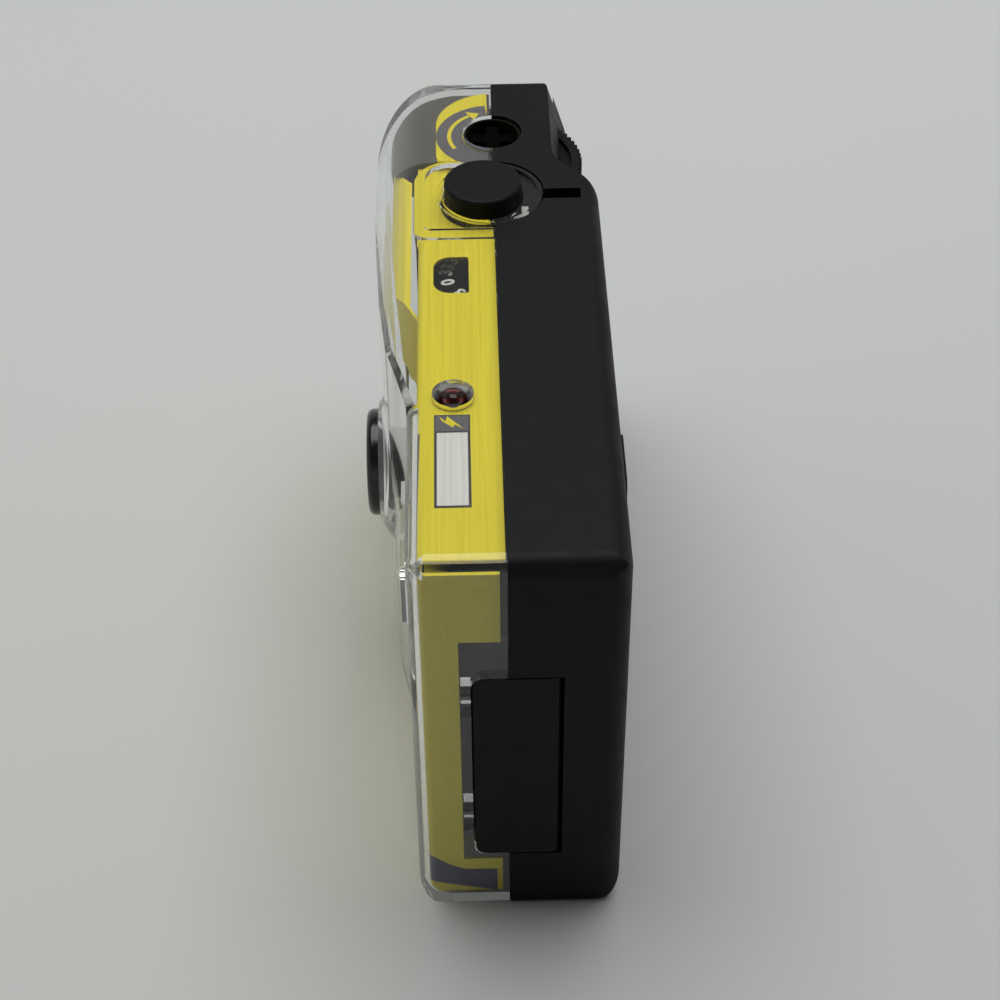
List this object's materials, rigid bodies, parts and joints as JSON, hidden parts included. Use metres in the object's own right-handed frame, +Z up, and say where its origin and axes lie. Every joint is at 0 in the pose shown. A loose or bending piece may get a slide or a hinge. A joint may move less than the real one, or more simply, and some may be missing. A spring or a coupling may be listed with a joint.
{
  "type": "disposable film camera",
  "caption": "Disposable film camera with a clear front cover over a yellow printed card, black rear cover, built-in flash, film thumbwheel and shutter button.",
  "frame": {"origin": "centre of the base, midway between the flat front face and the back", "axes": "+Z up, -Y the way the lens looks, +X towards the flash end"},
  "size_m": [0.11, 0.0356, 0.068],
  "materials": {
    "black_casing": "fine matte moulded texture",
    "clear_casing": "clear polished moulding",
    "yellow_card": "printed card with a brushed satin sheen",
    "frame_plastic": "plain moulded",
    "black_control": "satin moulded",
    "clear_lens": "polished",
    "spring_steel": "bright wire",
    "blade_steel": "blackened",
    "white_acetal": "plain moulded",
    "cassette_steel": "lacquered sheet",
    "film_base": "gloss film",
    "reflector_foil": "bright formed sheet",
    "tube_glass": "clear tube",
    "red_lamp": "tinted clear dome",
    "bright_trim": "bright",
    "board_resin": "printed circuit board",
    "capacitor_sleeve": "shrink sleeve",
    "transformer_tape": "taped winding",
    "copper_winding": "enamelled wire",
    "contact_brass": "bright strip",
    "battery_jacket": "plain jacket"
  },
  "bodies": {
    "camera_body": {"rear_cover": "black_casing", "front_cover": "clear_casing", "label_card": "yellow_card", "wind_label": "yellow_card", "main_frame": "frame_plastic", "wind_plate": "frame_plastic", "button_spring": "spring_steel", "lens_ring": "black_control", "taking_lens": "clear_lens", "lens_holder": "frame_plastic", "lever_spring": "spring_steel", "film_cassette": "cassette_steel", "cassette_caps": "frame_plastic", "film_strip": "film_base", "viewfinder_front_lens": "clear_lens", "viewfinder_rear_lens": "clear_lens", "flash_window": "clear_lens", "flash_reflector": "reflector_foil", "flash_tube": "tube_glass", "ready_lamp": "red_lamp", "lamp_bezel": "bright_trim", "circuit_board": "board_resin", "flash_capacitor": "capacitor_sleeve", "step_up_transformer": "transformer_tape", "trigger_coil": "copper_winding", "flash_contact": "contact_brass", "battery": "battery_jacket", "battery_contacts": "spring_steel"},
    "wind": {"thumbwheel": "black_control", "cassette_spool": "frame_plastic"},
    "sprocket": {"film_sprocket": "white_acetal"},
    "counter": {"counter_dial": "black_control"},
    "supply": {"film_roll": "film_base"},
    "shutter_release": {"shutter_button": "black_control"},
    "flash_switch": {"flash_button": "black_control"},
    "blade": {"shutter_blade": "blade_steel"},
    "drive_lever": {"energy_lever": "white_acetal"},
    "meter_lever": {"metering_lever": "white_acetal"},
    "flap": {"latch_flap": "black_casing"}
  },
  "joints": [
    {"name": "film_wind", "type": "hinge", "parent": "camera_body", "child": "wind", "pos_m": [-0.0403, -0.0014, 0.0589], "axis": [0, 0, 1], "continuous": true},
    {"name": "sprocket_turn", "type": "hinge", "parent": "camera_body", "child": "sprocket", "pos_m": [-0.021, 0.00315, 0.054], "axis": [0, 0, 1], "continuous": true},
    {"name": "counter_turn", "type": "hinge", "parent": "camera_body", "child": "counter", "pos_m": [-0.0085, -0.003, 0.0614], "axis": [0, 0, 1], "continuous": true},
    {"name": "supply_turn", "type": "hinge", "parent": "camera_body", "child": "supply", "pos_m": [0.041, 0.0007, 0.0326], "axis": [0, 0, 1], "continuous": true},
    {"name": "shutter_press", "type": "slide", "parent": "camera_body", "child": "shutter_release", "axis": [0, 0, -1], "range_m": [0, 0.0018], "stiffness_N_per_m": 400, "deforming": ["button_spring"]},
    {"name": "flash_press", "type": "slide", "parent": "camera_body", "child": "flash_switch", "axis": [0, 1, 0], "range_m": [0, 0.001], "stiffness_N_per_m": 600},
    {"name": "blade_swing", "type": "hinge", "parent": "camera_body", "child": "blade", "pos_m": [0.0027, -0.01165, 0.0356], "axis": [0, 1, 0], "range_deg": [0, 45], "stiffness_Nm_per_rad": 0.0001},
    {"name": "drive_swing", "type": "hinge", "parent": "camera_body", "child": "drive_lever", "pos_m": [0.002, -0.004, 0.0536], "axis": [0, 0, 1], "range_deg": [-20, 0], "stiffness_Nm_per_rad": 0.0005},
    {"name": "meter_swing", "type": "hinge", "parent": "camera_body", "child": "meter_lever", "pos_m": [-0.014, 0.00795, 0.0568], "axis": [0, 0, 1], "range_deg": [0, 12], "stiffness_Nm_per_rad": 0.0005},
    {"name": "flap_swing", "type": "hinge", "parent": "camera_body", "child": "flap", "pos_m": [0.0541, 0.0046, 0.0286], "axis": [0, 0, 1], "range_deg": [0, 100]}
  ],
  "couplings": [
    {"joint": "sprocket_turn", "follows": "film_wind", "ratio": 1.25},
    {"joint": "counter_turn", "follows": "film_wind", "ratio": -0.03125},
    {"joint": "supply_turn", "follows": "film_wind", "ratio": 0.9}
  ]
}
